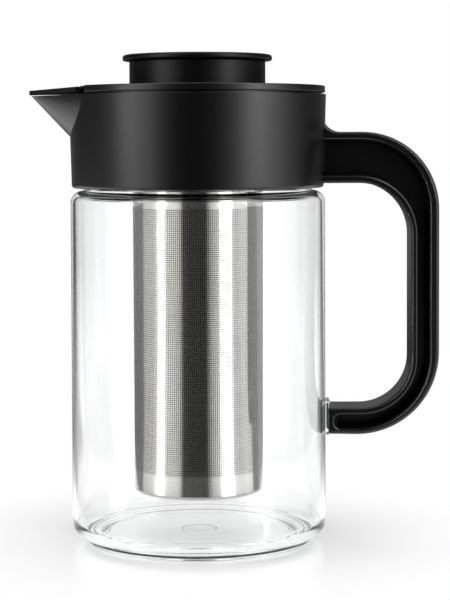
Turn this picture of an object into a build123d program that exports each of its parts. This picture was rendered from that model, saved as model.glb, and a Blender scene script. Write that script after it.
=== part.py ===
from build123d import *
from math import hypot
import os

# Glass tea pitcher with a hanging steel infuser, a lid with a hinged pouring flap, and a D-shaped handle.
# Millimetres. +Z is up, the spout points to -X and the handle to +X.
# The origin is on the glass axis, in the plane that the foot ring stands on.

# Glass jug
GLASS_R = 56.9
GLASS_WALL = 2.0
NECK_R = 50.9
SHOULDER_Z = 156.8
GLASS_TOP = 178.5
FOOT_INNER_R = 48.0
FOOT_OUTER_R = 50.2
FLOOR_Z = 4.6

# Collar and spout
COLLAR_Z0 = 158.0
COLLAR_TOP = 199.4
COLLAR_R0 = 56.3
COLLAR_R1 = 57.4
COLLAR_BORE = 55.2
COLLAR_GRIP_BORE = 53.5
SHOULDER_BORE = 49.0
SEAT_Z = 182.0
SEAT_T = 2.4
SPOUT_TIP_X = -75.2
SPOUT_TIP_Z = 200.0
SPOUT_ROOT_X = -49.0
SPOUT_HALF_W = 29.5
SPOUT_DROP = 27.6
SPOUT_WALL = 3.0
LIP_Z = 199.1

# Handle
HANDLE_HALF_W = 11.2
HANDLE_X = 107.05
HANDLE_INNER_X = 94.6
ARM_TOP_Z = 182.6
ARM_LOW_Z = 159.9
FOOT_ARM_TOP_Z = 59.9
FOOT_ARM_LOW_Z = 47.2
HANDLE_END_R = 58.8
RIM_OUTER = 4.2
RIM_INNER = 2.9
RIM_TOP = 3.5
RIM_LOW = 3.0
HANDLE_EDGE_R = 1.6
RECESS_STEPS = ((0.0, 9.8, 9), (0.3, 0.9, 20), (0.8, 0.35, 55))

# Lid
LID_R = 57.0
LID_Z0 = 200.1
LID_Z1 = 203.1
LID_FLAT_X = -48.5
LID_BORE = 31.0
PLUG_R = 54.6
PLUG_WALL = 2.4
WELL_R = 33.3
LEDGE_Z = 192.0
LEDGE_T = 2.0
LEDGE_R = 29.85

# Flap and its hinge
HINGE_X = -51.3
HINGE_Z = 201.4
KNUCKLE_R = 1.2
PIN_R = 0.6
PIN_RUNNING = 0.05
FLAP_HALF_W = 26.6
EAR_Y0 = 12.4
EAR_Y1 = 16.4

# Infuser
INF_TOP_R = 29.5
INF_LOW_R = 29.0
INF_SHEET = 0.5
INF_TOP_Z = 198.6
INF_LOW_Z = 22.3
INF_TAPER_Z = 150.0
NECK_RING_R = 30.4
NECK_RING_BORE = 27.3
NECK_RING_Z1 = 214.4

# Cap
CAP_R = 33.4
CAP_Z1 = 217.1
CAP_PLUG_R = 26.9
CAP_PLUG_Z0 = 204.0


def corner(before, at, after, radius):
    """Tangent points and mid point of an arc that rounds one corner."""
    u = (before[0] - at[0], before[1] - at[1])
    v = (after[0] - at[0], after[1] - at[1])
    lu = hypot(*u)
    lv = hypot(*v)
    u = (u[0] / lu, u[1] / lu)
    v = (v[0] / lv, v[1] / lv)
    w = (u[0] + v[0], u[1] + v[1])
    lw = hypot(*w)
    w = (w[0] / lw, w[1] / lw)
    cos_half = u[0] * w[0] + u[1] * w[1]
    sin_half = (1 - cos_half**2) ** 0.5
    back = radius * cos_half / sin_half
    reach = radius / sin_half - radius
    start = (at[0] + u[0] * back, at[1] + u[1] * back)
    middle = (at[0] + w[0] * reach, at[1] + w[1] * reach)
    end = (at[0] + v[0] * back, at[1] + v[1] * back)
    return start, middle, end


def outline(corners):
    """Closed face from (x, y, radius) corners, with each corner rounded by its radius."""
    count = len(corners)
    edges = []
    joints = []
    for i, (x, y, radius) in enumerate(corners):
        if radius:
            before = corners[i - 1][:2]
            after = corners[(i + 1) % count][:2]
            start, middle, end = corner(before, (x, y), after, radius)
            edges.append(ThreePointArc(start, middle, end))
            joints.append((start, end))
        else:
            joints.append(((x, y), (x, y)))
    for i in range(count):
        edges.append(Line(joints[i][1], joints[(i + 1) % count][0]))
    return make_face(edges)


def turned(corners):
    """Solid of revolution about Z from (radius, z, corner radius) corners."""
    return revolve(Plane.XZ * outline(corners), Axis.Z)


def ring(inner, outer, z0, z1):
    """Plain ring with square edges."""
    return turned([(inner, z0, 0), (outer, z0, 0), (outer, z1, 0), (inner, z1, 0)])


def block(x0, x1, y0, y1, z0, z1):
    """Box between two corners."""
    size = Box(x1 - x0, y1 - y0, z1 - z0)
    return Pos((x0 + x1) / 2, (y0 + y1) / 2, (z0 + z1) / 2) * size


def side_prism(corners, y0, y1):
    """Outline in X and Z, extruded from y0 to y1."""
    face = Plane.XZ * outline(corners)
    return Pos(0, y1, 0) * extrude(face, y1 - y0, dir=(0, -1, 0))


def rod(x, z, radius, y0, y1):
    """Round bar along Y."""
    bar = Cylinder(radius, y1 - y0)
    return Pos(x, (y0 + y1) / 2, z) * Rot(90, 0, 0) * bar


def glass_jug():
    """One blown vessel: domed floor, foot ring, straight wall, shoulder and neck."""
    inner_r = GLASS_R - GLASS_WALL
    neck_in = NECK_R - GLASS_WALL
    return turned(
        [
            (0, 3.0, 0),
            (7.5, 3.0, 0),
            (7.9, 2.6, 0),
            (40.0, 2.6, 3),
            (44.0, 1.6, 3),
            (FOOT_INNER_R - 0.4, 1.6, 0.5),
            (FOOT_INNER_R, 0, 0.4),
            (FOOT_OUTER_R, 0, 1.2),
            (FOOT_OUTER_R + 0.8, 2.8, 0.8),
            (GLASS_R, 4.0, 5.5),
            (GLASS_R, SHOULDER_Z, 5.4),
            (NECK_R, SHOULDER_Z, 0.5),
            (NECK_R, GLASS_TOP, 0.9),
            (neck_in, GLASS_TOP, 0.9),
            (neck_in, SHOULDER_Z - GLASS_WALL, 2.4),
            (inner_r, SHOULDER_Z - GLASS_WALL, 3.4),
            (inner_r, FLOOR_Z, 6),
            (0, FLOOR_Z, 0),
        ]
    )


def neck_gasket():
    """Soft sleeve between the glass neck and the collar, folded over the glass rim."""
    top = SEAT_Z - SEAT_T
    return turned(
        [
            (NECK_R, 163.0, 0),
            (COLLAR_GRIP_BORE, 163.0, 0.3),
            (COLLAR_GRIP_BORE, top, 0),
            (SHOULDER_BORE + 0.3, top, 0.3),
            (SHOULDER_BORE + 0.3, GLASS_TOP, 0),
            (NECK_R, GLASS_TOP, 0),
        ]
    )


def collar_skin():
    """Outer shape of the collar, slightly wider at the top."""
    return turned(
        [
            (0, COLLAR_Z0, 0),
            (COLLAR_R0, COLLAR_Z0, 1.4),
            (COLLAR_R1, COLLAR_TOP, 0.35),
            (0, COLLAR_TOP, 0),
        ]
    )


def spout_cone(shift):
    """Elliptic cone with its point at the spout's tip, moved along X by the shift."""
    sections = []
    for share in (0.02, 1.0):
        x = SPOUT_TIP_X + (SPOUT_ROOT_X - SPOUT_TIP_X) * share + shift
        plane = Plane(origin=(x, 0, SPOUT_TIP_Z), x_dir=(0, 1, 0), z_dir=(1, 0, 0))
        sections.append(plane * Ellipse(SPOUT_HALF_W * share, SPOUT_DROP * share))
    return loft(sections, ruled=True)


def spout_roof():
    """Everything above the spout's lip, which lies a little lower than the collar's top."""
    corners = [(-90, LIP_Z), (-60, LIP_Z), (-54, COLLAR_TOP), (-40, COLLAR_TOP), (-40, 235), (-90, 235)]
    return side_prism([(x, z, 0) for x, z in corners], -40, 40)


def collar():
    """Moulded ring round the neck with an inner seat for the lid and a pointed spout."""
    body = collar_skin() + (spout_cone(0) - spout_roof())
    body -= ring(0, COLLAR_BORE, SEAT_Z, 206.0)
    body -= ring(0, SHOULDER_BORE, 150.0, 206.0)
    body -= ring(0, COLLAR_GRIP_BORE, 161.0, SEAT_Z - SEAT_T)
    body -= ring(0, NECK_R + 0.5, 150.0, 162.0)
    channel = spout_cone(SPOUT_WALL) & block(-80, -40, -40, 40, SEAT_Z + 0.6, 235)
    return body - channel


def handle():
    """D-shaped handle of I-section: two side recesses inside a raised rim."""
    shape = side_prism(
        [
            (50, 192.0, 0),
            (55.3, 192.0, 0),
            (55.3, ARM_TOP_Z, 8),
            (HANDLE_X, ARM_TOP_Z, 34.2),
            (HANDLE_X, FOOT_ARM_LOW_Z, 36.5),
            (57.0, FOOT_ARM_LOW_Z + 1.1, 0),
            (57.0, FOOT_ARM_TOP_Z, 0),
            (HANDLE_INNER_X, FOOT_ARM_TOP_Z, 22),
            (HANDLE_INNER_X, ARM_LOW_Z, 23),
            (50, ARM_LOW_Z, 0),
        ],
        -HANDLE_HALF_W,
        HANDLE_HALF_W,
    )
    sides = shape.faces().sort_by(Axis.Y)
    shape = fillet(sides[0].edges() + sides[-1].edges(), HANDLE_EDGE_R)
    for grow, depth, draft in RECESS_STEPS:
        recess = handle_recess(grow, depth, draft)
        shape -= recess
        shape -= mirror(recess, Plane.XZ)
    shape -= ring(0, HANDLE_END_R, 30.0, COLLAR_Z0 - 5)
    shape -= collar_skin()
    return shape


def handle_recess(grow, depth, draft):
    """Pocket with drafted walls in the far side face, which runs out at the collar."""
    top = ARM_TOP_Z - RIM_TOP + grow
    under = ARM_LOW_Z + RIM_TOP - grow
    foot_top = FOOT_ARM_TOP_Z - RIM_LOW + grow
    foot_low = FOOT_ARM_LOW_Z + RIM_LOW - grow
    outer = HANDLE_X - RIM_OUTER + grow
    inner = HANDLE_INNER_X + RIM_INNER - grow
    face = outline(
        [
            (52.0, top, 0),
            (outer, top, 30.6 + grow),
            (outer, foot_low, 32.6 + grow),
            (60.5 - grow, foot_low + 0.6, 2.6 + grow),
            (60.5 - grow, foot_top, 2.6 + grow),
            (inner, foot_top, 25 - grow),
            (inner, under, 26.4 - grow),
            (52.0, under, 0),
        ]
    )
    pocket = extrude(Plane.XZ * face, depth, taper=draft)
    return Pos(0, HANDLE_HALF_W, 0) * pocket


def handle_bumper():
    """Clear pad that keeps the handle's lower end off the glass."""
    pad = ring(GLASS_R, HANDLE_END_R, 47.4, 62.2)
    return pad & block(50, 70, -6.5, 6.5, 40, 70)


def lid_plate():
    """Flat disc with a straight edge towards the spout and two hinge ears on it."""
    plate = turned(
        [
            (LID_BORE, LID_Z0, 0),
            (LID_R, LID_Z0, 0.5),
            (LID_R, LID_Z1, 0.5),
            (LID_BORE, LID_Z1, 0.3),
        ]
    )
    plate -= block(-80, LID_FLAT_X, -60, 60, 190, 210)
    for side in (-1, 1):
        y0, y1 = sorted((side * EAR_Y0, side * EAR_Y1))
        plate += rod(HINGE_X, HINGE_Z, KNUCKLE_R, y0, y1)
        plate += block(HINGE_X, LID_FLAT_X, y0, y1, LID_Z0, LID_Z1)
    return plate - rod(HINGE_X, HINGE_Z, PIN_R + 0.01, -30, 30)


def lid_plug():
    """Skirt that stands on the collar's seat, with a pouring window and a well for the infuser."""
    plug = turned(
        [
            (PLUG_R - PLUG_WALL, SEAT_Z, 0.4),
            (PLUG_R, SEAT_Z, 0.6),
            (PLUG_R, LID_Z0, 0),
            (LID_BORE, LID_Z0, 0),
            (LID_BORE, LEDGE_Z + LEDGE_T, 0),
            (LEDGE_R, LEDGE_Z + LEDGE_T, 0),
            (LEDGE_R, LEDGE_Z, 0),
            (WELL_R, LEDGE_Z, 0.5),
            (WELL_R, LID_Z0 - 2.2, 0.8),
            (PLUG_R - PLUG_WALL, LID_Z0 - 2.2, 0.8),
        ]
    )
    plug -= block(-80, -48.6, -22.5, 22.5, SEAT_Z + 2.6, 210)
    return plug - ring(PLUG_R - 1.0, PLUG_R + 1, SEAT_Z + 0.7, SEAT_Z + 1.9)


def lid_seal():
    """Soft ring in the groove round the skirt's foot."""
    z0 = SEAT_Z + 0.7
    z1 = SEAT_Z + 1.9
    return turned(
        [
            (PLUG_R - 1.0, z0, 0),
            (PLUG_R + 0.3, z0, 0.4),
            (PLUG_R + 0.3, z1, 0.4),
            (PLUG_R - 1.0, z1, 0),
        ]
    )


def flap_hinge_pin():
    """Steel pin through the flap's knuckle and both ears of the lid."""
    return rod(HINGE_X, HINGE_Z, PIN_R, -EAR_Y1, EAR_Y1)


def spout_flap():
    """Beak-shaped flap that covers the spout, thinner and lower towards its tip."""
    root = (SPOUT_ROOT_X, SPOUT_HALF_W)
    plan = outline([(SPOUT_TIP_X - 0.4, 0, 1.2), (root[0], -root[1], 0), (*root, 0)])
    slab = Pos(0, 0, 190) * extrude(plan, 20)
    slab = slab & block(-80, HINGE_X, -FLAP_HALF_W, FLAP_HALF_W, 190, 210)
    wedge = side_prism(
        [
            (-80.0, 201.2, 0),
            (HINGE_X, 202.56, 0),
            (HINGE_X, 200.35, 0),
            (-80.0, 199.2, 0),
        ],
        -30,
        30,
    )
    flap = slab & wedge
    flap += rod(HINGE_X, HINGE_Z, KNUCKLE_R, -FLAP_HALF_W, FLAP_HALF_W)
    for side in (-1, 1):
        y0, y1 = sorted((side * (EAR_Y0 - 0.4), side * (EAR_Y1 + 0.4)))
        flap -= block(HINGE_X - 1.7, -48, y0, y1, 190, 210)
    return flap - rod(HINGE_X, HINGE_Z, PIN_R + PIN_RUNNING, -EAR_Y0, EAR_Y0)


def infuser_tube():
    """Rolled steel sheet, a little narrower below."""
    return turned(
        [
            (INF_LOW_R - INF_SHEET, INF_LOW_Z + 1.5, 0),
            (INF_LOW_R, INF_LOW_Z + 1.5, 0),
            (INF_TOP_R, INF_TAPER_Z, 0),
            (INF_TOP_R, INF_TOP_Z, 0),
            (INF_TOP_R - INF_SHEET, INF_TOP_Z, 0),
            (INF_TOP_R - INF_SHEET, INF_TAPER_Z, 0),
        ]
    )


def infuser_base():
    """Pressed steel bottom: a rounded rim below the tube and an upstand inside it."""
    inside = INF_LOW_R - INF_SHEET
    return turned(
        [
            (0, INF_LOW_Z + 0.6, 0),
            (26.5, INF_LOW_Z + 0.6, 0.6),
            (27.1, INF_LOW_Z, 0.2),
            (INF_LOW_R, INF_LOW_Z, 1.4),
            (INF_LOW_R, INF_LOW_Z + 1.5, 0),
            (inside, INF_LOW_Z + 1.5, 0),
            (inside, INF_LOW_Z + 5.0, 0),
            (inside - 0.5, INF_LOW_Z + 5.0, 0),
            (inside - 0.5, INF_LOW_Z + 1.2, 0.6),
            (0, INF_LOW_Z + 1.2, 0),
        ]
    )


def infuser_neck():
    """Moulded ring that grips the tube's top edge, hangs on the lid's ledge and forms the knob's drum."""
    z0 = LEDGE_Z + LEDGE_T
    neck = turned(
        [
            (NECK_RING_BORE, z0, 0.4),
            (NECK_RING_R, z0, 0.2),
            (NECK_RING_R, NECK_RING_Z1, 0.6),
            (NECK_RING_BORE, NECK_RING_Z1, 0.4),
        ]
    )
    neck -= ring(INF_TOP_R - INF_SHEET, INF_TOP_R, z0 - 1, INF_TOP_Z)
    return neck - ring(NECK_RING_R - 0.9, NECK_RING_R + 1, 199.4, 201.0)


def infuser_seal():
    """Soft ring round the neck ring, inside the lid's well."""
    return turned(
        [
            (NECK_RING_R - 0.9, 199.4, 0),
            (NECK_RING_R + 0.3, 199.4, 0.4),
            (NECK_RING_R + 0.3, 201.0, 0.4),
            (NECK_RING_R - 0.9, 201.0, 0),
        ]
    )


def cap_top():
    """Thin flange of the knob."""
    return turned(
        [
            (0, NECK_RING_Z1, 0),
            (CAP_R, NECK_RING_Z1, 0.9),
            (CAP_R, CAP_Z1, 1.3),
            (0, CAP_Z1, 0),
        ]
    )


def cap_plug():
    """Closed cup under the flange that fills the neck ring's bore."""
    floor = CAP_PLUG_Z0 + 1.8
    plug = turned(
        [
            (0, CAP_PLUG_Z0, 0),
            (CAP_PLUG_R, CAP_PLUG_Z0, 0.8),
            (CAP_PLUG_R, NECK_RING_Z1, 0),
            (CAP_PLUG_R - 2.2, NECK_RING_Z1, 0),
            (CAP_PLUG_R - 2.2, floor, 0.8),
            (0, floor, 0),
        ]
    )
    return plug - ring(CAP_PLUG_R - 1.1, CAP_PLUG_R + 1, 207.0, 209.0)


def cap_seal():
    """Soft ring round the cap's plug."""
    return turned(
        [
            (CAP_PLUG_R - 1.1, 207.0, 0),
            (CAP_PLUG_R + 0.1, 207.0, 0.4),
            (CAP_PLUG_R + 0.1, 209.0, 0.4),
            (CAP_PLUG_R - 1.1, 209.0, 0),
        ]
    )


PIECES = {
    "glass_jug": glass_jug,
    "neck_gasket": neck_gasket,
    "collar": collar,
    "handle": handle,
    "handle_bumper": handle_bumper,
    "lid_plate": lid_plate,
    "lid_plug": lid_plug,
    "lid_seal": lid_seal,
    "flap_hinge_pin": flap_hinge_pin,
    "spout_flap": spout_flap,
    "infuser_neck": infuser_neck,
    "infuser_seal": infuser_seal,
    "infuser_tube": infuser_tube,
    "infuser_base": infuser_base,
    "cap_top": cap_top,
    "cap_plug": cap_plug,
    "cap_seal": cap_seal,
}

os.makedirs("parts", exist_ok=True)
for name, make in PIECES.items():
    export_step(make(), f"parts/{name}.step")
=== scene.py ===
"""Looks of a glass tea pitcher with a hanging steel infuser.

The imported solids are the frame. The glass and the infuser's sheet metal are
rebuilt here as fine turned meshes with a UV map, and every other solid is
dressed as it stands. Lengths are in metres, and in millimetres in a profile and
in a sub-assembly's sizes. +Z is up, and the spout points towards -X.
"""

from __future__ import annotations

import logging
import math
from collections.abc import Sequence
from dataclasses import dataclass, replace
from enum import Enum

import bmesh
import bpy
from bmesh.types import BMesh, BMLayerItem, BMVert
from bpy.types import Material, Node, NodeSocket, NodeTree, Object
from mathutils import Euler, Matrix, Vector

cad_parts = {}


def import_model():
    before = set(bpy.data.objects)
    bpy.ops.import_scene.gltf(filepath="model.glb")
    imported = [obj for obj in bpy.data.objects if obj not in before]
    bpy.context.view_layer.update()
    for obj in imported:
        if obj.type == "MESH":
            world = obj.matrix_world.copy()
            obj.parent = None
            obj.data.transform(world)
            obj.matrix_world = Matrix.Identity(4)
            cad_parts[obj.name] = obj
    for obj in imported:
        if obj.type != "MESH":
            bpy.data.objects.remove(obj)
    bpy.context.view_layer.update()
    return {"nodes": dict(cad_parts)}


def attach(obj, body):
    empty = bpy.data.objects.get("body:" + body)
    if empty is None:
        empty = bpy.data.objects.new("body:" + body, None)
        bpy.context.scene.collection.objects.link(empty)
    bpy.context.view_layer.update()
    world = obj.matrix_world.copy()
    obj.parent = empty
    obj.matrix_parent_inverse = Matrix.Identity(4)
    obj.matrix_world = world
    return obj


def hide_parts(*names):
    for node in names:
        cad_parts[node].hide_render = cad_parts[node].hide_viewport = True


LOG = logging.getLogger("tea_pitcher")
MM = 0.001
UV_NAME = "surface"
ON_AXIS = 1e-7  # a point closer to the axis than this is on it, in metres

Triple = tuple[float, float, float]
Colour = Triple
Pair = tuple[float, float]


# Profiles and meshes


@dataclass(frozen=True)
class Corner:
    """One corner of a turned profile, in millimetres.

    Attributes:
        r: Distance from the axis.
        z: Height.
        rounding: Radius that rounds the corner, or 0 for a sharp one.
    """

    r: float
    z: float
    rounding: float = 0.0


def rounded_path(corners: Sequence[Corner], steps: int = 12) -> list[Pair]:
    """Turns corners into the points of a smooth open path.

    Args:
        corners: The path's corners in order, of which the ends stay sharp.
        steps: How many chords each rounded corner gets.

    Returns:
        Points as (r, z) in millimetres.
    """
    points: list[Pair] = []
    last = len(corners) - 1
    for i, corner in enumerate(corners):
        here = Vector((corner.r, corner.z))
        if corner.rounding <= 0 or i in (0, last):
            points.append((here.x, here.y))
            continue
        back = (Vector((corners[i - 1].r, corners[i - 1].z)) - here).normalized()
        ahead = (Vector((corners[i + 1].r, corners[i + 1].z)) - here).normalized()
        half = back.angle(ahead) / 2
        middle = (back + ahead).normalized()
        centre = here + middle * (corner.rounding / math.sin(half))
        start = here + back * (corner.rounding / math.tan(half)) - centre
        end = here + ahead * (corner.rounding / math.tan(half)) - centre
        turn = start.angle_signed(end)
        for k in range(steps + 1):
            angle = -turn * k / steps
            c, s = math.cos(angle), math.sin(angle)
            spoke = Vector((start.x * c - start.y * s, start.x * s + start.y * c))
            points.append(tuple(centre + spoke))
    return points


def refined(
    points: Sequence[Pair], longest: float, guarded: float = 0.72, guard: float = 0.06
) -> list[Pair]:
    """Splits the long chords of a path and keeps their shading flat up to each end.

    Args:
        points: The path's points.
        longest: The longest chord that stays whole, in millimetres.
        guarded: The shortest chord that gets a point close to each of its ends.
        guard: Distance of those points from the ends.

    Returns:
        The path with points added along its long chords.
    """
    out = [points[0]]
    for a, b in zip(points, points[1:]):
        length = math.dist(a, b)
        count = max(1, math.ceil(length / longest))
        shares = [k / count for k in range(1, count)]
        if length > guarded:
            shares = [guard / length, *shares, 1 - guard / length]
        out += [(a[0] + (b[0] - a[0]) * t, a[1] + (b[1] - a[1]) * t) for t in (*shares, 1)]
    return out


def placed(name: str, data: bpy.types.ID) -> Object:
    """Puts new data in the scene as an object."""
    obj = bpy.data.objects.new(name, data)
    bpy.context.scene.collection.objects.link(obj)
    return obj


@dataclass
class Lathe:
    """Turns a profile into a mesh with a UV map in metres along its surface.

    Attributes:
        name: The piece's name.
        corners: The profile from its first to its last corner.
        closed: True if the last corner joins the first.
        segments: Steps round the axis.
        longest: The longest chord along the profile, in millimetres.
    """

    name: str
    corners: Sequence[Corner]
    closed: bool = False
    segments: int = 256
    longest: float = 6.0

    def outline(self) -> list[Pair]:
        """Rounded and refined profile points, in metres."""
        corners = list(self.corners)
        if self.closed:
            first, second = corners[0], corners[1]
            start = Corner((first.r + second.r) / 2, (first.z + second.z) / 2)
            corners = [start, *corners[1:], first, start]
        points = refined(rounded_path(corners), self.longest)
        return [(r * MM, z * MM) for r, z in points]

    def build(self) -> Object:
        """Makes the object.

        Returns:
            The turned mesh, linked to the scene and shaded smooth.
        """
        points = self.outline()
        mesh = bpy.data.meshes.new(self.name)
        bm = bmesh.new()
        rows: list[list[BMVert]] = []
        count = len(points) - 1 if self.closed else len(points)
        for r, z in points[:count]:
            if r < ON_AXIS:
                rows.append([bm.verts.new((0, 0, z))])
                continue
            angles = (2 * math.pi * k / self.segments for k in range(self.segments))
            rows.append([bm.verts.new((r * math.cos(t), r * math.sin(t), z)) for t in angles])
        if self.closed:
            rows.append(rows[0])
        lengths = [0.0]
        for a, b in zip(points, points[1:]):
            lengths.append(lengths[-1] + math.dist(a, b))
        girth = 2 * math.pi * max(r for r, _ in points)
        uv = bm.loops.layers.uv.new(UV_NAME)
        for i, (low, high) in enumerate(zip(rows, rows[1:])):
            self._skin(bm, uv, low, high, (lengths[i], lengths[i + 1]), girth)
        bmesh.ops.recalc_face_normals(bm, faces=bm.faces)
        bm.to_mesh(mesh)
        bm.free()
        for polygon in mesh.polygons:
            polygon.use_smooth = True
        return placed(self.name, mesh)

    def _skin(
        self,
        bm: BMesh,
        uv: BMLayerItem,
        low: list[BMVert],
        high: list[BMVert],
        along: Pair,
        girth: float,
    ) -> None:
        """Joins two rings of vertices with faces.

        Args:
            bm: The mesh being built.
            uv: Its UV layer.
            low: The first ring, or a single vertex on the axis.
            high: The second ring, or a single vertex on the axis.
            along: Distance along the profile at each ring.
            girth: Length of the UV map once round the axis, the same at every height.
        """
        for k in range(self.segments):
            after = (k + 1) % self.segments
            spots = [(low, k, 0), (low, after, 0), (high, after, 1), (high, k, 1)]
            ends = (k / self.segments * girth, (k + 1) / self.segments * girth)
            verts, places = [], []
            for (ring, at, side), u in zip(spots, (ends[0], ends[1], ends[1], ends[0])):
                vert = ring[at % len(ring)]
                if vert not in verts:
                    verts.append(vert)
                    places.append((u, along[side]))
            if len(verts) < 3:
                continue
            face = bm.faces.new(verts)
            for loop in face.loops:
                loop[uv].uv = places[verts.index(loop.vert)]


# Shader graphs


class Graph:
    """A node tree with short calls to add nodes and join them."""

    def __init__(self, tree: NodeTree) -> None:
        """Keeps the tree that nodes are added to."""
        self.tree = tree

    def add(self, kind: str, **inputs: object) -> Node:
        """Adds a node and fills its inputs.

        Args:
            kind: The node's type without its ShaderNode prefix.
            **inputs: Attribute names, or input names with _ for each space, and
                their values. A socket value is linked.

        Returns:
            The new node.
        """
        node = self.tree.nodes.new("ShaderNode" + kind)
        for key, value in inputs.items():
            if key[0].islower():
                setattr(node, key, value)
                continue
            self.feed(node, key.replace("_", " "), value)
        return node

    def feed(self, node: Node, name: str, value: object) -> None:
        """Sets or links one input.

        Args:
            node: The node.
            name: The input's name, or a # and its place.
            value: A value, or an output socket to link.
        """
        socket = node.inputs[int(name[1:]) if name.startswith("#") else name]
        if isinstance(value, NodeSocket):
            self.tree.links.new(value, socket)
        else:
            socket.default_value = value

    def math(self, operation: str, *values: object) -> NodeSocket:
        """Adds a Math node.

        Args:
            operation: Its operation.
            *values: Its inputs, in order.

        Returns:
            The node's output.
        """
        node = self.add("Math", operation=operation)
        for i, value in enumerate(values):
            self.feed(node, f"#{i}", value)
        return node.outputs[0]

    def ramp(self, value: NodeSocket, low: float, high: float, out: Pair) -> NodeSocket:
        """Maps a value from one range to another, clamped.

        Args:
            value: The value to map.
            low: Where the input range starts.
            high: Where it ends.
            out: The output at each end.

        Returns:
            The mapped value.
        """
        node = self.add("MapRange", Value=value, From_Min=low, From_Max=high)
        node.inputs["To Min"].default_value, node.inputs["To Max"].default_value = out
        return node.outputs["Result"]

    def blend(self, factor: object, a: object, b: object) -> NodeSocket:
        """Mixes two colours, with factor as the share of b."""
        return self._mix("RGBA", 6, 2, factor, a, b)

    def choose(self, factor: object, a: object, b: object) -> NodeSocket:
        """Mixes two values, with factor as the share of b."""
        return self._mix("FLOAT", 2, 0, factor, a, b)

    def _mix(self, kind: str, first: int, out: int, *values: object) -> NodeSocket:
        """Adds a Mix node.

        Args:
            kind: What it mixes.
            first: The place of its first input of that kind.
            out: The place of its output of that kind.
            *values: The factor and the two inputs.

        Returns:
            The node's output.
        """
        node = self.add("Mix", data_type=kind)
        for i, value in zip((0, first, first + 1), values):
            self.feed(node, f"#{i}", value)
        return node.outputs[out]

    def noise(self, where: NodeSocket, scale: object, detail: float = 2.0) -> NodeSocket:
        """Adds a noise from 0 to 1, read at a point."""
        return self.add("TexNoise", Vector=where, Scale=scale, Detail=detail).outputs["Fac"]

    def stretch(self, where: NodeSocket, factors: Triple) -> NodeSocket:
        """Multiplies a point's coordinates.

        Args:
            where: The point.
            factors: The factor for each axis.

        Returns:
            The new point.
        """
        node = self.add("VectorMath", operation="MULTIPLY")
        self.feed(node, "#0", where)
        self.feed(node, "#1", factors)
        return node.outputs[0]

    def point(self) -> NodeSocket:
        """Adds the point's object coordinates."""
        return self.add("TexCoord").outputs["Object"]

    def bump(self, shader: Node, height: NodeSocket, depth: float, strength: float) -> None:
        """Gives a shader a bump of a depth in metres."""
        node = self.add("Bump", Height=height, Distance=depth, Strength=strength)
        self.feed(shader, "Normal", node.outputs[0])


def group_graph(
    name: str, takes: dict[str, tuple[str, object]], gives: dict[str, str]
) -> tuple[NodeTree, Graph, Node, Node]:
    """Starts a shader node group.

    Args:
        name: The group's name.
        takes: Input names, each with its socket kind and default.
        gives: Output names, each with its socket kind.

    Returns:
        The group's tree, its graph, and its input and output nodes.
    """
    tree = bpy.data.node_groups.new(name, "ShaderNodeTree")
    for label, (kind, default) in takes.items():
        socket = tree.interface.new_socket(
            name=label, in_out="INPUT", socket_type="NodeSocket" + kind
        )
        socket.default_value = default
    for label, kind in gives.items():
        tree.interface.new_socket(name=label, in_out="OUTPUT", socket_type="NodeSocket" + kind)
    graph = Graph(tree)
    source = tree.nodes.new("NodeGroupInput")
    sink = tree.nodes.new("NodeGroupOutput")
    return tree, graph, source, sink


def drifted(g: Graph, source: Node, noise: NodeSocket) -> NodeSocket:
    """Lets a group's roughness drift about its mean as a noise does about 0.5."""
    swing = g.math("MULTIPLY", g.math("SUBTRACT", noise, 0.5), source.outputs["Roughness Drift"])
    return g.math("ADD", source.outputs["Roughness"], g.math("MULTIPLY", swing, 2.0))


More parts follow.
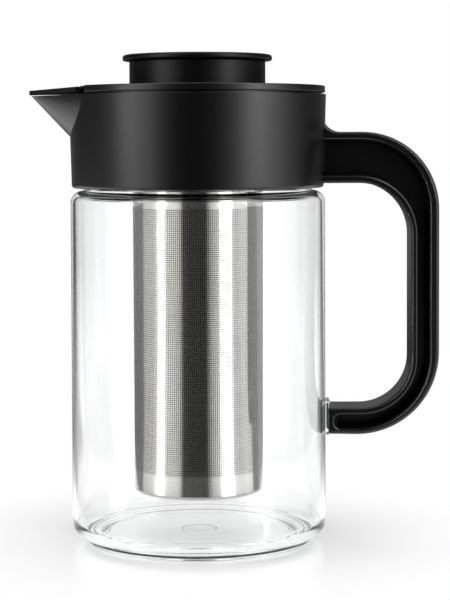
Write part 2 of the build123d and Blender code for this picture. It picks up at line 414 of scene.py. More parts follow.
class Effects:
    """The shader node groups that several finishes share, each built once."""

    def __init__(self) -> None:
        """Builds every group."""
        self.grain = self._grain()
        self.dust = self._dust()
        self.sheet = self._sheet()
        self.holes = self._holes()
        self.ripple = self._ripple()

    @staticmethod
    def place(graph: Graph, tree: NodeTree, **inputs: object) -> Node:
        """Puts a group in a material.

        Args:
            graph: The material's graph.
            tree: The group.
            **inputs: Values for its inputs, with _ for each space.

        Returns:
            The group node.
        """
        node = graph.tree.nodes.new("ShaderNodeGroup")
        node.node_tree = tree
        for key, value in inputs.items():
            graph.feed(node, key.replace("_", " "), value)
        return node

    @staticmethod
    def _grain() -> NodeTree:
        """Fine texture of moulded plastic, with slow drifts of tone and gloss."""
        tree, g, source, sink = group_graph(
            "moulded_grain",
            {
                "Colour": ("Color", (0.02, 0.02, 0.02, 1)),
                "Lift": ("Color", (0.03, 0.03, 0.03, 1)),
                "Grain Scale": ("Float", 2600.0),
                "Drift Scale": ("Float", 28.0),
                "Roughness": ("Float", 0.4),
                "Roughness Drift": ("Float", 0.05),
            },
            {"Colour": "Color", "Roughness": "Float", "Height": "Float"},
        )
        fine_share, cell_share, lift_most = 0.5, 0.6, 0.6
        where = g.point()
        fine = g.noise(where, source.outputs["Grain Scale"])
        cells = g.add(
            "TexVoronoi", Vector=where, Scale=source.outputs["Grain Scale"]
        ).outputs["Distance"]
        slow = g.noise(where, source.outputs["Drift Scale"], 3.0)
        share = g.ramp(slow, 0.3, 0.7, (0.0, lift_most))
        pitted = g.math("MULTIPLY_ADD", fine, fine_share, share)
        colour = g.blend(pitted, source.outputs["Colour"], source.outputs["Lift"])
        g.feed(sink, "Colour", colour)
        g.feed(sink, "Roughness", drifted(g, source, slow))
        g.feed(sink, "Height", g.math("MULTIPLY_ADD", cells, cell_share, fine))
        return tree

    @staticmethod
    def _dust() -> NodeTree:
        """Thin dust that settles on faces that look up."""
        tree, g, source, sink = group_graph(
            "settled_dust",
            {
                "Colour": ("Color", (0.02, 0.02, 0.02, 1)),
                "Dust": ("Color", (0.35, 0.34, 0.32, 1)),
                "Amount": ("Float", 0.04),
            },
            {"Colour": "Color", "Mask": "Float"},
        )
        speck_scale, flat_from, thinnest = 900.0, 0.55, 0.25
        normal = g.add("NewGeometry").outputs["Normal"]
        up = g.add("SeparateXYZ", Vector=normal).outputs["Z"]
        facing = g.ramp(up, flat_from, 1.0, (0.0, 1.0))
        specks = g.noise(g.point(), speck_scale, 4.0)
        lit = g.ramp(specks, 0.52, 0.68, (thinnest, 1.0))
        mask = g.math("MULTIPLY", g.math("MULTIPLY", facing, lit), source.outputs["Amount"])
        g.feed(sink, "Colour", g.blend(mask, source.outputs["Colour"], source.outputs["Dust"]))
        g.feed(sink, "Mask", mask)
        return tree

    @staticmethod
    def _sheet() -> NodeTree:
        """Rolled steel sheet: faint lines along the rolling direction and soft clouds."""
        tree, g, source, sink = group_graph(
            "rolled_sheet",
            {
                "Colour": ("Color", (0.6, 0.6, 0.6, 1)),
                "Shade": ("Color", (0.45, 0.45, 0.45, 1)),
                "Line Scale": ("Float", 5200.0),
                "Roughness": ("Float", 0.16),
                "Roughness Drift": ("Float", 0.06),
            },
            {"Colour": "Color", "Roughness": "Float", "Height": "Float"},
        )
        cloud_scale, cloud_share, line_share = 60.0, 0.6, 0.4
        where = g.point()
        along_sheet = g.stretch(where, (0.02, 0.02, 1.0))
        lines = g.noise(along_sheet, source.outputs["Line Scale"])
        clouds = g.noise(where, cloud_scale, 3.0)
        both = g.math("MULTIPLY_ADD", clouds, cloud_share, g.math("MULTIPLY", lines, line_share))
        share = g.ramp(both, 0.35, 0.65, (0.0, 1.0))
        colour = g.blend(share, source.outputs["Colour"], source.outputs["Shade"])
        g.feed(sink, "Colour", colour)
        g.feed(sink, "Roughness", drifted(g, source, both))
        g.feed(sink, "Height", lines)
        return tree

    @staticmethod
    def _holes() -> NodeTree:
        """Square grid of round holes between two heights, in metres round and up the sheet."""
        tree, g, source, sink = group_graph(
            "punched_grid",
            {
                "Pitch": ("Float", 0.00092),
                "Rise": ("Float", 0.00092),
                "Hole Radius": ("Float", 0.00026),
                "Low": ("Float", 0.03),
                "High": ("Float", 0.15),
                "Clear": ("Float", 0.3),
            },
            {"Sheet": "Float", "Hole": "Float"},
        )
        place = g.add("UVMap", uv_map=UV_NAME).outputs["UV"]
        split = g.add("SeparateXYZ", Vector=place)
        height = g.add("SeparateXYZ", Vector=g.point()).outputs["Z"]
        offsets = []
        for value, pitch in (
            (split.outputs["X"], source.outputs["Pitch"]),
            (height, source.outputs["Rise"]),
        ):
            cell = g.math("FRACT", g.math("DIVIDE", value, pitch))
            offsets.append(g.math("MULTIPLY", g.math("SUBTRACT", cell, 0.5), pitch))
        squares = [g.math("MULTIPLY", value, value) for value in offsets]
        away = g.math("SQRT", g.math("ADD", *squares))
        inside = g.math("LESS_THAN", away, source.outputs["Hole Radius"])
        above = g.math("GREATER_THAN", height, source.outputs["Low"])
        below = g.math("LESS_THAN", height, source.outputs["High"])
        zone = g.math("MULTIPLY", above, below)
        hole = g.math("MULTIPLY", inside, zone)
        clear = g.math("MULTIPLY", hole, source.outputs["Clear"])
        g.feed(sink, "Sheet", g.math("SUBTRACT", 1.0, clear))
        g.feed(sink, "Hole", hole)
        return tree

    @staticmethod
    def _ripple() -> NodeTree:
        """Slow waves, a breath of tone and faint smears in blown glass or clear rubber."""
        tree, g, source, sink = group_graph(
            "blown_ripple",
            {
                "Colour": ("Color", (1, 1, 1, 1)),
                "Tint": ("Color", (0.97, 0.99, 0.98, 1)),
                "Wave Scale": ("Float", 40.0),
                "Roughness": ("Float", 0.0),
                "Smear": ("Float", 0.02),
            },
            {"Colour": "Color", "Roughness": "Float", "Height": "Float"},
        )
        smear_scale = 22.0
        where = g.point()
        drawn = g.stretch(where, (1.0, 1.0, 0.18))
        waves = g.noise(drawn, source.outputs["Wave Scale"])
        smears = g.noise(where, smear_scale, 4.0)
        patch = g.ramp(smears, 0.55, 0.75, (0.0, 1.0))
        g.feed(sink, "Colour", g.blend(waves, source.outputs["Colour"], source.outputs["Tint"]))
        smeared = g.math("MULTIPLY", patch, source.outputs["Smear"])
        g.feed(sink, "Roughness", g.math("ADD", source.outputs["Roughness"], smeared))
        g.feed(sink, "Height", waves)
        return tree


def opaque(colour: Colour) -> tuple[float, float, float, float]:
    """Adds an alpha of 1 to a colour."""
    return (*colour, 1.0)


def fresh_material(name: str) -> tuple[Material, Graph, Node]:
    """Starts a material with one Principled shader.

    Args:
        name: The material's name.

    Returns:
        The material, its graph and its Principled node.
    """
    material = bpy.data.materials.new(name)
    material.use_nodes = True
    graph = Graph(material.node_tree)
    shader = material.node_tree.nodes["Principled BSDF"]
    return material, graph, shader


def lit_through(graph: Graph, shader: Node, tone: Colour) -> None:
    """Lets rays from the lamps pass a clear material, with a little of its tone.

    Args:
        graph: The clear material's graph.
        shader: Its Principled shader.
        tone: The colour that the light keeps.
    """
    path = graph.add("LightPath")
    clear = graph.add("BsdfTransparent", Color=opaque(tone))
    either = graph.math("MAXIMUM", path.outputs["Is Shadow Ray"], path.outputs["Is Diffuse Ray"])
    mixed = graph.add("MixShader", Fac=either)
    graph.feed(mixed, "#1", shader.outputs[0])
    graph.feed(mixed, "#2", clear.outputs[0])
    graph.feed(graph.tree.nodes["Material Output"], "Surface", mixed.outputs[0])


@dataclass(frozen=True)
class ClearFinish:
    """A clear solid: glass or soft clear rubber.

    Attributes:
        name: The material's name.
        colour: Its colour.
        tint: The colour that it drifts towards.
        ior: Index of refraction.
        roughness: Plain roughness.
        smear: Roughness that its faint smears add.
        wave: Strength of its surface waves, in metres.
        wave_scale: How close the waves are.
        shade: What its shadow keeps of the light.
    """

    name: str
    colour: Colour
    tint: Colour
    ior: float
    roughness: float
    smear: float
    wave: float
    wave_scale: float
    shade: Colour

    def build(self, effects: Effects) -> Material:
        """Makes the material.

        Args:
            effects: The shared node groups.

        Returns:
            The clear material.
        """
        material, g, shader = fresh_material(self.name)
        ripple = effects.place(
            g,
            effects.ripple,
            Colour=opaque(self.colour),
            Tint=opaque(self.tint),
            Wave_Scale=self.wave_scale,
            Roughness=self.roughness,
            Smear=self.smear,
        )
        shader.inputs["Transmission Weight"].default_value = 1.0
        shader.inputs["IOR"].default_value = self.ior
        g.feed(shader, "Base Color", ripple.outputs["Colour"])
        g.feed(shader, "Roughness", ripple.outputs["Roughness"])
        g.bump(shader, ripple.outputs["Height"], self.wave, 1.0)
        lit_through(g, shader, self.shade)
        return material


@dataclass(frozen=True)
class MouldedFinish:
    """Moulded black plastic.

    Attributes:
        name: The material's name.
        colour: Its colour.
        lift: The tone of its grain.
        roughness: Mean roughness.
        drift: How far the roughness drifts.
        grain_scale: How close its grain is.
        grain_depth: Depth of the grain, in metres.
        dust: Share of dust on faces that look up.
        sheen: Strength of its gloss, where 0.5 is plain.
        dust_roughness: Roughness that full dust adds.
        relief: Strength of the grain's bump.
    """

    name: str
    colour: Colour
    lift: Colour
    roughness: float
    drift: float
    grain_scale: float
    grain_depth: float
    dust: float
    sheen: float = 0.5
    dust_roughness: float = 0.4
    relief: float = 0.6

    def build(self, effects: Effects) -> Material:
        """Makes the material.

        Args:
            effects: The shared node groups.

        Returns:
            The plastic material.
        """
        material, g, shader = fresh_material(self.name)
        grain = effects.place(
            g,
            effects.grain,
            Colour=opaque(self.colour),
            Lift=opaque(self.lift),
            Grain_Scale=self.grain_scale,
            Roughness=self.roughness,
            Roughness_Drift=self.drift,
        )
        dust = effects.place(g, effects.dust, Colour=grain.outputs["Colour"], Amount=self.dust)
        mask, clean = dust.outputs["Mask"], grain.outputs["Roughness"]
        shader.inputs["Specular IOR Level"].default_value = self.sheen
        g.feed(shader, "Base Color", dust.outputs["Colour"])
        g.feed(shader, "Roughness", g.math("MULTIPLY_ADD", mask, self.dust_roughness, clean))
        g.bump(shader, grain.outputs["Height"], self.grain_depth, self.relief)
        return material


@dataclass(frozen=True)
class SteelFinish:
    """Stainless steel, plain or punched.

    Attributes:
        name: The material's name.
        colour: Its colour.
        shade: The tone of its clouds and lines.
        roughness: Mean roughness.
        drift: How far the roughness drifts.
        line_depth: Depth of the rolling lines, in metres.
        relief: Strength of the lines' bump.
        pitch: Hole pitch round the sheet in metres, or 0 for plain steel.
        rise: Hole pitch up the sheet, in metres.
        hole_r: Radius of a hole, in metres.
        low: Height where the holes start, in metres.
        high: Height where they end, in metres.
        clear: Share of light that passes a hole; the rest of the hole is painted shade.
        painted_hole_shade: Near-black painted shade in place of the dark seen through a hole.
    """

    name: str
    colour: Colour
    shade: Colour
    roughness: float
    drift: float
    line_depth: float
    relief: float = 0.5
    pitch: float = 0.0
    rise: float = 0.0
    hole_r: float = 0.0
    low: float = 0.0
    high: float = 0.0
    clear: float = 0.0
    painted_hole_shade: Colour = (0.02, 0.02, 0.02)

    def build(self, effects: Effects) -> Material:
        """Makes the material.

        Args:
            effects: The shared node groups.

        Returns:
            The steel material.
        """
        material, g, shader = fresh_material(self.name)
        sheet = effects.place(
            g,
            effects.sheet,
            Colour=opaque(self.colour),
            Shade=opaque(self.shade),
            Roughness=self.roughness,
            Roughness_Drift=self.drift,
        )
        shader.inputs["Metallic"].default_value = 1.0
        colour = sheet.outputs["Colour"]
        g.feed(shader, "Roughness", sheet.outputs["Roughness"])
        g.bump(shader, sheet.outputs["Height"], self.line_depth, self.relief)
        if self.pitch:
            holes = effects.place(
                g,
                effects.holes,
                Pitch=self.pitch,
                Rise=self.rise,
                Hole_Radius=self.hole_r,
                Low=self.low,
                High=self.high,
                Clear=self.clear,
            )
            g.feed(shader, "Alpha", holes.outputs["Sheet"])
            # Painted shade: the holes take a near-black colour in place of the dark seen through
            # them.
            colour = g.blend(holes.outputs["Hole"], colour, opaque(self.painted_hole_shade))
        g.feed(shader, "Base Color", colour)
        return material


# Sub-assemblies


class Body(Enum):
    """The bodies that the new pieces ride on."""

    PITCHER = "pitcher"
    INFUSER = "infuser"


class Slot(Enum):
    """The record's material slots."""

    GLASS = "glass"
    PLASTIC = "black_plastic"
    RUBBER = "clear_silicone"
    PUNCHED = "perforated_steel"
    STEEL = "steel"


@dataclass
class Workshop:
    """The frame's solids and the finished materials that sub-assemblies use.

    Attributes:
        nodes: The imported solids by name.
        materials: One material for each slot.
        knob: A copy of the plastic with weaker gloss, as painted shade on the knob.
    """

    nodes: dict[str, Object]
    materials: dict[Slot, Material]
    knob: Material

    def dress(self, name: str, slot: Slot, finish: Material | None = None) -> None:
        """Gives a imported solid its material.

        Args:
            name: The solid's node name.
            slot: The finish that it takes.
            finish: A variant of that finish.
        """
        mesh = self.nodes[name].data
        for i in range(len(mesh.materials)):
            mesh.materials[i] = finish or self.materials[slot]
        LOG.info("%s dressed in %s", name, slot.value)

    def mount(self, obj: Object, body: Body, slot: Slot, *nodes: str) -> None:
        """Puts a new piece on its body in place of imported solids.

        Args:
            obj: The piece.
            body: The body that it rides on.
            slot: The finish that it takes.
            *nodes: The solids that it stands for.
        """
        obj.data.materials.append(self.materials[slot])
        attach(obj, body.value)
        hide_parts(*nodes)
        LOG.info("%s stands for %s", obj.name, ", ".join(nodes))


@dataclass
class Pitcher:
    """Glass jug with its gasket, collar, handle and pad.

    Attributes:
        glass_r: Radius of the straight wall, in millimetres.
        wall: Thickness of the wall.
        neck_r: Outer radius of the neck.
        shoulder_z: Height of the shoulder.
        top_z: Height of the rim.
        floor_z: Height of the floor inside.
        body_z: Height of the body's bottom corner outside the foot ring.
        foot_in: Inner radius of the foot ring's flat.
        foot_out: Outer radius of the foot ring's flat.
        step_r: Radius of the step in the underside.
        step_z: Height of the underside between the step and the foot ring.
        dome_r: Radius where the underside starts to slope to its step.
        under_z: Height of the underside within that.
        pip_r: Radius of the hollow in the middle of the underside.
        pip_z: Height of that hollow.
    """

    glass_r: float = 56.9
    wall: float = 2.0
    neck_r: float = 50.9
    shoulder_z: float = 156.8
    top_z: float = 178.5
    floor_z: float = 4.6
    body_z: float = 4.0
    foot_in: float = 48.0
    foot_out: float = 50.2
    step_r: float = 44.0
    step_z: float = 1.6
    dome_r: float = 40.0
    under_z: float = 2.6
    pip_r: float = 7.5
    pip_z: float = 3.0

    def glass_profile(self) -> list[Corner]:
        """Corners of the vessel from its domed underside round to its floor."""
        inner = self.glass_r - self.wall
        neck_in = self.neck_r - self.wall
        under_shoulder = self.shoulder_z - self.wall
        return [
            Corner(0, self.pip_z),
            Corner(self.pip_r, self.pip_z, 0.2),
            Corner(self.pip_r + 0.4, self.under_z, 0.2),
            Corner(self.dome_r, self.under_z, 3),
            Corner(self.step_r, self.step_z, 3),
            Corner(self.foot_in - 0.4, self.step_z, 0.5),
            Corner(self.foot_in, 0, 0.4),
            Corner(self.foot_out, 0, 1.2),
            Corner(self.foot_out + 0.8, self.body_z - 1.2, 0.8),
            Corner(self.glass_r, self.body_z, 5.5),
            Corner(self.glass_r, self.shoulder_z, 5.4),
            Corner(self.neck_r, self.shoulder_z, 0.5),
            Corner(self.neck_r, self.top_z, 0.9),
            Corner(neck_in, self.top_z, 0.9),
            Corner(neck_in, under_shoulder, 2.4),
            Corner(inner, under_shoulder, 3.4),
            Corner(inner, self.floor_z, 6),
            Corner(0, self.floor_z),
        ]

    def build(self, shop: Workshop) -> None:
        """Builds the glass and dresses the solids of the pitcher.

        Args:
            shop: The frame's solids and materials.
        """
        glass = Lathe("jug_glass", self.glass_profile()).build()
        shop.mount(glass, Body.PITCHER, Slot.GLASS, "glass_jug")
        shop.dress("neck_gasket", Slot.RUBBER)
        shop.dress("handle_bumper", Slot.RUBBER)
        for name in ("collar", "handle"):
            shop.dress(name, Slot.PLASTIC)


@dataclass
class Lid:
    """Flat lid with its skirt, seal, hinge pin and pouring flap."""

    plastic: tuple[str, ...] = ("lid_plate", "lid_plug", "spout_flap")

    def build(self, shop: Workshop) -> None:
        """Dresses the lid's solids.

        Args:
            shop: The frame's solids and materials.
        """
        for name in self.plastic:
            shop.dress(name, Slot.PLASTIC)
        shop.dress("lid_seal", Slot.RUBBER)
        shop.dress("flap_hinge_pin", Slot.STEEL)


@dataclass
class Infuser:
    """Punched steel tube with its pressed bottom and moulded neck ring.

    Attributes:
        top_r: Outer radius from the taper's end up, in millimetres.
        low_r: Outer radius at the bottom.
        sheet: Thickness of the sheet.
        foot_z: Height of the tube's lower edge.
        taper_z: Height where the taper ends.
        top_z: Height of the tube's top edge.
        holes_round: Holes in one row round the sheet.
        holes_rise: Pitch of the rows.
        hole_r: Radius of a hole.
        holes_z: Heights where the holes start and end.
    """

    top_r: float = 29.5
    low_r: float = 29.0
    sheet: float = 0.5
    foot_z: float = 23.8
    taper_z: float = 150.0
    top_z: float = 198.6
    holes_round: int = 204
    holes_rise: float = 0.91
    hole_r: float = 0.31
    holes_z: Pair = (32.4, 149.1)

    def tube_profile(self) -> list[Corner]:
        """Corners of the tube's wall, outside first."""
        return [
            Corner(self.low_r, self.foot_z),
            Corner(self.top_r, self.taper_z),
            Corner(self.top_r, self.top_z),
            Corner(self.top_r - self.sheet, self.top_z),
            Corner(self.top_r - self.sheet, self.taper_z),
            Corner(self.low_r - self.sheet, self.foot_z),
        ]

    def build(self, shop: Workshop) -> None:
        """Builds the tube and dresses the rest of the infuser.

        Args:
            shop: The frame's solids and materials.
        """
        tube = Lathe(
            "infuser_sheet", self.tube_profile(), closed=True, segments=240, longest=12.0
        ).build()
        shop.mount(tube, Body.INFUSER, Slot.PUNCHED, "infuser_tube")
        shop.dress("infuser_base", Slot.STEEL)
        shop.dress("infuser_neck", Slot.PLASTIC, shop.knob)
        shop.dress("infuser_seal", Slot.RUBBER)


@dataclass
class Cap:
    """Knob flange that closes the infuser, with its plug and seal."""

    plastic: tuple[str, ...] = ("cap_top", "cap_plug")

    def build(self, shop: Workshop) -> None:
        """Dresses the cap's solids.

        Args:
            shop: The frame's solids and materials.
        """
        for name in self.plastic:
            shop.dress(name, Slot.PLASTIC, shop.knob)
        shop.dress("cap_seal", Slot.RUBBER)


# Studio


@dataclass(frozen=True)
class SoftBox:
    """A soft lamp that looks at the pitcher.

    Attributes:
        name: The lamp's name.
        bearing: Degrees from the camera's side, positive towards the handle.
        away: Distance from the axis, in metres.
        height: Height of its centre, in metres.
        size: Width and height, in metres.
        radiance: Brightness of its face, where 1 is white.
        aim_z: Height on the axis that it looks at, in metres.
    """

    name: str
    bearing: float
    away: float
    height: float
    size: Pair
    radiance: float
    aim_z: float = 0.11

    def build(self) -> None:
        """Makes the lamp."""
        data = bpy.data.lights.new(self.name, "AREA")
        data.shape = "RECTANGLE"
        data.size, data.size_y = self.size
        data.energy = self.radiance * math.pi * self.size[0] * self.size[1]
        lamp = placed(self.name, data)
        turn = math.radians(self.bearing)
        place = Vector((math.sin(turn) * self.away, -math.cos(turn) * self.away, self.height))
        lamp.location = place
        aim = Vector((0, 0, self.aim_z)) - place
        lamp.rotation_euler = aim.to_track_quat("-Z", "Y").to_euler()
        lamp.visible_camera = False


@dataclass(frozen=True)
class Surround:
    """Brightness of the studio all round, as gloss and clear pieces see it.

    A pattern is pairs of a bearing, in degrees from the camera's side and positive
    towards the handle, and the brightness there, where 1 is white.

    Attributes:
        gloss: What reflections see of the walls.
        floor: What reflections see of the floor close by.
        through: What rays bent by clear pieces see.
        peak: The brightest level of all.
        fill: Brightness of the walls as a soft light.
    """

    gloss: tuple[Pair, ...] = (
        (-180, 0.3), (-150, 0.12), (-125, 0.05), (-100, 0.1), (-84, 0.2), (-70, 0.8),
        (-60, 1.8), (-46, 2.1), (-36, 0.9), (-26, 0.1), (-16, 0.01), (6, 0.01),
        (22, 0.1), (38, 0.9), (56, 2.2), (72, 2.0), (86, 0.6), (104, 0.08),
        (122, 0.04), (150, 0.12), (180, 0.3),
    )  # fmt: skip
    floor: tuple[Pair, ...] = (
        (-180, 0.03), (-157, 0.06), (-148, 0.5), (-140, 1.0), (-127, 1.7), (-112, 1.7),
        (-98, 1.3), (-70, 1.3), (-46, 1.3), (-28, 0.15), (-16, 0.02), (8, 0.02),
        (22, 0.1), (40, 1.2), (74, 1.4), (98, 1.5), (112, 2.0), (127, 2.0),
        (136, 1.1), (146, 0.4), (156, 0.06), (180, 0.03),
    )  # fmt: skip
    through: tuple[Pair, ...] = (
        (-180, 1.0), (-176, 1.0), (-170, 1.12), (-160, 1.15), (-156, 0.1), (-130, 0.12),
        (-112, 0.16), (-106, 0.8), (-84, 1.1), (-76, 1.6), (-71, 4.0), (-61, 4.0),
        (-56, 1.5), (-32, 1.1), (-25, 0.09), (14, 0.07), (24, 0.9), (36, 1.3),
        (40, 4.0), (59, 4.0), (63, 1.4), (102, 1.0), (106, 0.04), (123, 0.04),
        (127, 0.3), (150, 0.3), (155, 0.08), (159, 1.15), (170, 1.12), (176, 1.0),
        (180, 1.0),
    )  # fmt: skip
    peak: float = 4.0
    fill: float = 0.95

    def build(self) -> NodeTree:
        """Makes the node group that gives the levels for a direction or a place."""
        patterns = {"Gloss": self.gloss, "Floor": self.floor, "Through": self.through}
        tree, g, source, sink = group_graph(
            "studio_bearing", {"Vector": ("Vector", (0, 0, 0))}, dict.fromkeys(patterns, "Float")
        )
        parts = g.add("SeparateXYZ", Vector=source.outputs["Vector"])
        toward = g.math("MULTIPLY", parts.outputs["Y"], -1.0)
        turn = g.math("ARCTAN2", parts.outputs["X"], toward)
        share = g.math("MULTIPLY_ADD", turn, 0.5 / math.pi, 0.5)
        for label, pattern in patterns.items():
            ramp = g.add("ValToRGB", Fac=share)
            stops = ramp.color_ramp.elements
            while len(stops) < len(pattern):
                stops.new(0.5)
            for stop, (bearing, _) in zip(stops, pattern):
                stop.position = bearing / 360 + 0.5
            for stop, (_, level) in zip(stops, pattern):
                stop.color = opaque((level / self.peak,) * 3)
            g.feed(sink, label, g.math("MULTIPLY", ramp.outputs["Color"], self.peak))
        return tree

    def light(self, levels: NodeTree) -> None:
        """Makes the world: white to the camera, patterned to gloss and glass, and a soft light.

        Args:
            levels: The node group of the levels.
        """
        world = bpy.data.worlds.new("surround")
        bpy.context.scene.world = world
        world.use_nodes = True
        world.cycles.sampling_method = "NONE"
        g = Graph(world.node_tree)
        path = g.add("LightPath")
        level = Effects.place(g, levels, Vector=g.add("TexCoord").outputs["Generated"])
        strength = self.fill
        for ray, seen in (
            ("Is Glossy Ray", level.outputs["Gloss"]),
            ("Is Transmission Ray", level.outputs["Through"]),
            ("Is Camera Ray", 1.0),
        ):
            strength = g.choose(path.outputs[ray], strength, seen)
        background = world.node_tree.nodes["Background"]
        background.inputs["Color"].default_value = (1, 1, 1, 1)
        g.feed(background, "Strength", strength)


@dataclass(frozen=True)
class Floor:
    """White floor that keeps the pitcher's shadow and glows white further out.

    Each pair but the tones gives the two distances, in metres, between which a
    change runs. They are from the axis, or from a plane through it for the strip.

    Attributes:
        radius: Its radius, in metres.
        air: Gap between the foot ring and the floor, in metres.
        tones: The two tones of its faint speckle.
        speckle_scale: How close the speckle is.
        roughness: Its roughness.
        sheen: Strength of its gloss, where 0.5 is plain.
        glow: Where the glow sets in, for the camera and through glass on the strip.
        glow_aside: Where the glow sets in for every other ray that sees it.
        beside: Where the white strip behind the pitcher ends on each side.
        behind: Where that strip starts behind the axis.
        close: Where the painted shadow that bent rays see round the foot ends.
        painted_shadow_level: Level of that painted shadow.
        distant: Where reflections see the walls' pattern in place of the floor's.
    """

    radius: float = 4.0
    air: float = 0.0003
    tones: tuple[Colour, Colour] = ((0.93, 0.93, 0.93), (0.95, 0.95, 0.95))
    speckle_scale: float = 140.0
    roughness: float = 0.22
    sheen: float = 0.35
    glow: Pair = (0.06, 0.13)
    glow_aside: Pair = (0.065, 0.1)
    beside: Pair = (0.095, 0.125)
    behind: Pair = (0.0, 0.03)
    close: Pair = (0.12, 0.15)
    painted_shadow_level: float = 0.12
    distant: Pair = (0.6, 1.8)

    def build(self, levels: NodeTree) -> None:
        """Makes the floor.

        Args:
            levels: The node group of the surround's levels.
        """
        mesh = bpy.data.meshes.new("studio_floor")
        bm = bmesh.new()
        bmesh.ops.create_circle(bm, cap_ends=True, segments=96, radius=self.radius)
        bm.to_mesh(mesh)
        bm.free()
        floor = placed("studio_floor", mesh)
        floor.location.z = -self.air
        mesh.materials.append(self.finish(levels))

    def finish(self, levels: NodeTree) -> Material:
        """Makes the floor's material.

        Args:
            levels: The node group of the surround's levels.

        Returns:
            A plain pale shader for lamps and soft light, with the glow on top for
            the camera, gloss and glass.
        """
        material, g, shader = fresh_material("pale_floor")
        where = g.point()
        speckle = g.noise(where, self.speckle_scale, 3.0)
        g.feed(shader, "Base Color", g.blend(speckle, *(opaque(tone) for tone in self.tones)))
        shader.inputs["Roughness"].default_value = self.roughness
        shader.inputs["Specular IOR Level"].default_value = self.sheen

        path = g.add("LightPath")
        camera, bent = path.outputs["Is Camera Ray"], path.outputs["Is Transmission Ray"]
        seen = g.math("MAXIMUM", g.math("MAXIMUM", camera, bent), path.outputs["Is Glossy Ray"])
        length = g.add("VectorMath", operation="LENGTH")
        g.feed(length, "#0", where)
        far = length.outputs["Value"]
        parts = g.add("SeparateXYZ", Vector=where)
        aside = g.ramp(g.math("ABSOLUTE", parts.outputs["X"]), *self.beside, (1.0, 0.0))
        strip = g.math("MULTIPLY", aside, g.ramp(parts.outputs["Y"], *self.behind, (0.0, 1.0)))

        level = Effects.place(g, levels, Vector=where)
        # Painted shadow: bent rays see the floor dark round the foot, in front and to the sides.
        painted_shadow_factor = g.ramp(far, *self.close, (self.painted_shadow_level, 1.0))
        through = g.choose(strip, g.math("MULTIPLY", level.outputs["Through"], painted_shadow_factor), 1.0)
        walls = g.ramp(far, *self.distant, (0.0, 1.0))
        shine = g.choose(walls, level.outputs["Floor"], level.outputs["Gloss"])
        strength = g.choose(camera, g.choose(bent, shine, through), 1.0)
        glow = g.add("Emission", Color=(1, 1, 1, 1), Strength=strength)

        plain = g.math("MAXIMUM", camera, g.math("MULTIPLY", bent, strip))
        out = g.ramp(far, *self.glow_aside, (0.0, 1.0))
        share = g.choose(plain, out, g.ramp(far, *self.glow, (0.0, 1.0)))
        mixed = g.add("MixShader", Fac=g.math("MULTIPLY", share, seen))
        g.feed(mixed, "#1", shader.outputs[0])
        g.feed(mixed, "#2", glow.outputs[0])
        g.feed(g.tree.nodes["Material Output"], "Surface", mixed.outputs[0])
        return material


@dataclass(frozen=True)
class Viewpoint:
    """Camera at the viewing angle of the photograph.

    Attributes:
        eye: The camera's place, in metres.
        tilt: Degrees that it looks down.
        roll: Degrees that it leans.
        lens: Focal length for the long side, in millimetres.
        long_side: The sensor's long side, in millimetres.
        shift: Vertical shift as a share of the long side.
        clip: Nearest distance that it sees, in metres.
    """

    eye: Triple = (0.0121, -0.817, 0.1797)
    tilt: float = 2.5
    roll: float = -0.22
    lens: float = 109.4
    long_side: float = 36.0
    shift: float = -0.136
    clip: float = 0.01

    def build(self) -> None:
        """Makes the camera."""
        data = bpy.data.cameras.new("camera")
        data.lens = self.lens
        data.sensor_width = self.long_side
        data.shift_y = self.shift
        data.clip_start = self.clip
        camera = placed("camera", data)
        camera.location = self.eye
        look = Euler((math.radians(90 - self.tilt), 0, 0)).to_quaternion()
        lean = Euler((0, 0, math.radians(self.roll))).to_quaternion()
        camera.rotation_euler = (look @ lean).to_euler()
        bpy.context.scene.camera = camera


@dataclass(frozen=True)
class Studio:
    """White floor and surround, three soft lamps and the camera.

    Attributes:
        surround: What gloss and clear pieces see.
        floor: The floor.
        lamps: The soft lamps.
        viewpoint: The camera.
    """

    surround: Surround = Surround()
    floor: Floor = Floor()
    lamps: tuple[SoftBox, ...] = (
        SoftBox("box_left", -63.0, 0.9, 0.6, (0.34, 1.1), 2.2),
        SoftBox("box_right", 52.0, 0.9, 0.6, (0.34, 1.1), 2.9),
        SoftBox("box_top", 180.0, 0.25, 1.1, (0.9, 0.9), 1.15),
    )
    viewpoint: Viewpoint = Viewpoint()

    def build(self) -> None:
        """Builds the whole studio."""
        levels = self.surround.build()
        self.floor.build(levels)
        self.surround.light(levels)
        for lamp in self.lamps:
            lamp.build()
        self.viewpoint.build()
        bpy.context.scene.view_settings.view_transform = "Standard"


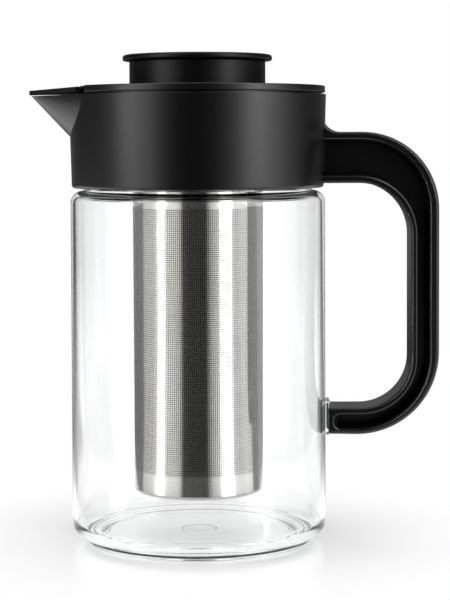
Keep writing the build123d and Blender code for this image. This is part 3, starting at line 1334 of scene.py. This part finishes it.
def make_materials() -> tuple[dict[Slot, Material], Material]:
    """Builds one material for each slot, and the knob's.

    Returns:
        The materials by slot, and the knob's copy with weaker gloss as painted shade.
    """
    effects = Effects()
    plastic = MouldedFinish(
        "satin_black_plastic",
        colour=(0.001, 0.001, 0.0012),
        lift=(0.002, 0.002, 0.0023),
        roughness=0.3,
        drift=0.03,
        grain_scale=2600.0,
        grain_depth=0.00001,
        dust=0.002,
    )
    # Painted shade: the knob's copy of the plastic reflects less, as the knob catches less
    # light.
    knob = replace(plastic, name="shaded_copy_black_plastic", roughness=0.36, sheen=0.22)
    steel = {
        "colour": (0.64, 0.63, 0.61),
        "shade": (0.56, 0.55, 0.53),
        "roughness": 0.09,
        "drift": 0.04,
        "line_depth": 0.000002,
    }
    finishes = {
        Slot.GLASS: ClearFinish(
            "borosilicate_glass",
            colour=(1.0, 1.0, 1.0),
            tint=(0.985, 0.995, 0.99),
            ior=1.474,
            roughness=0.0,
            smear=0.01,
            wave=0.00002,
            wave_scale=30.0,
            shade=(0.97, 0.975, 0.975),
        ),
        Slot.RUBBER: ClearFinish(
            "clear_silicone",
            colour=(0.95, 0.96, 0.96),
            tint=(0.88, 0.9, 0.9),
            ior=1.41,
            roughness=0.12,
            smear=0.1,
            wave=0.00004,
            wave_scale=260.0,
            shade=(0.8, 0.8, 0.8),
        ),
        Slot.PLASTIC: plastic,
        Slot.STEEL: SteelFinish("satin_steel", **steel),
        Slot.PUNCHED: SteelFinish(
            "punched_steel",
            **steel,
            pitch=2 * math.pi * Infuser.top_r * MM / Infuser.holes_round,
            rise=Infuser.holes_rise * MM,
            hole_r=Infuser.hole_r * MM,
            low=Infuser.holes_z[0] * MM,
            high=Infuser.holes_z[1] * MM,
            clear=0.15,
        ),
    }
    materials = {slot: finish.build(effects) for slot, finish in finishes.items()}
    return materials, knob.build(effects)


def main() -> None:
    """Loads the frame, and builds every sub-assembly and the studio."""
    logging.basicConfig(level=logging.INFO, format="%(name)s: %(message)s")
    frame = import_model()
    materials, knob = make_materials()
    shop = Workshop(nodes=frame["nodes"], materials=materials, knob=knob)
    for assembly in (Pitcher(), Lid(), Infuser(), Cap()):
        assembly.build(shop)
    Studio().build()


if __name__ == "__main__":
    main()
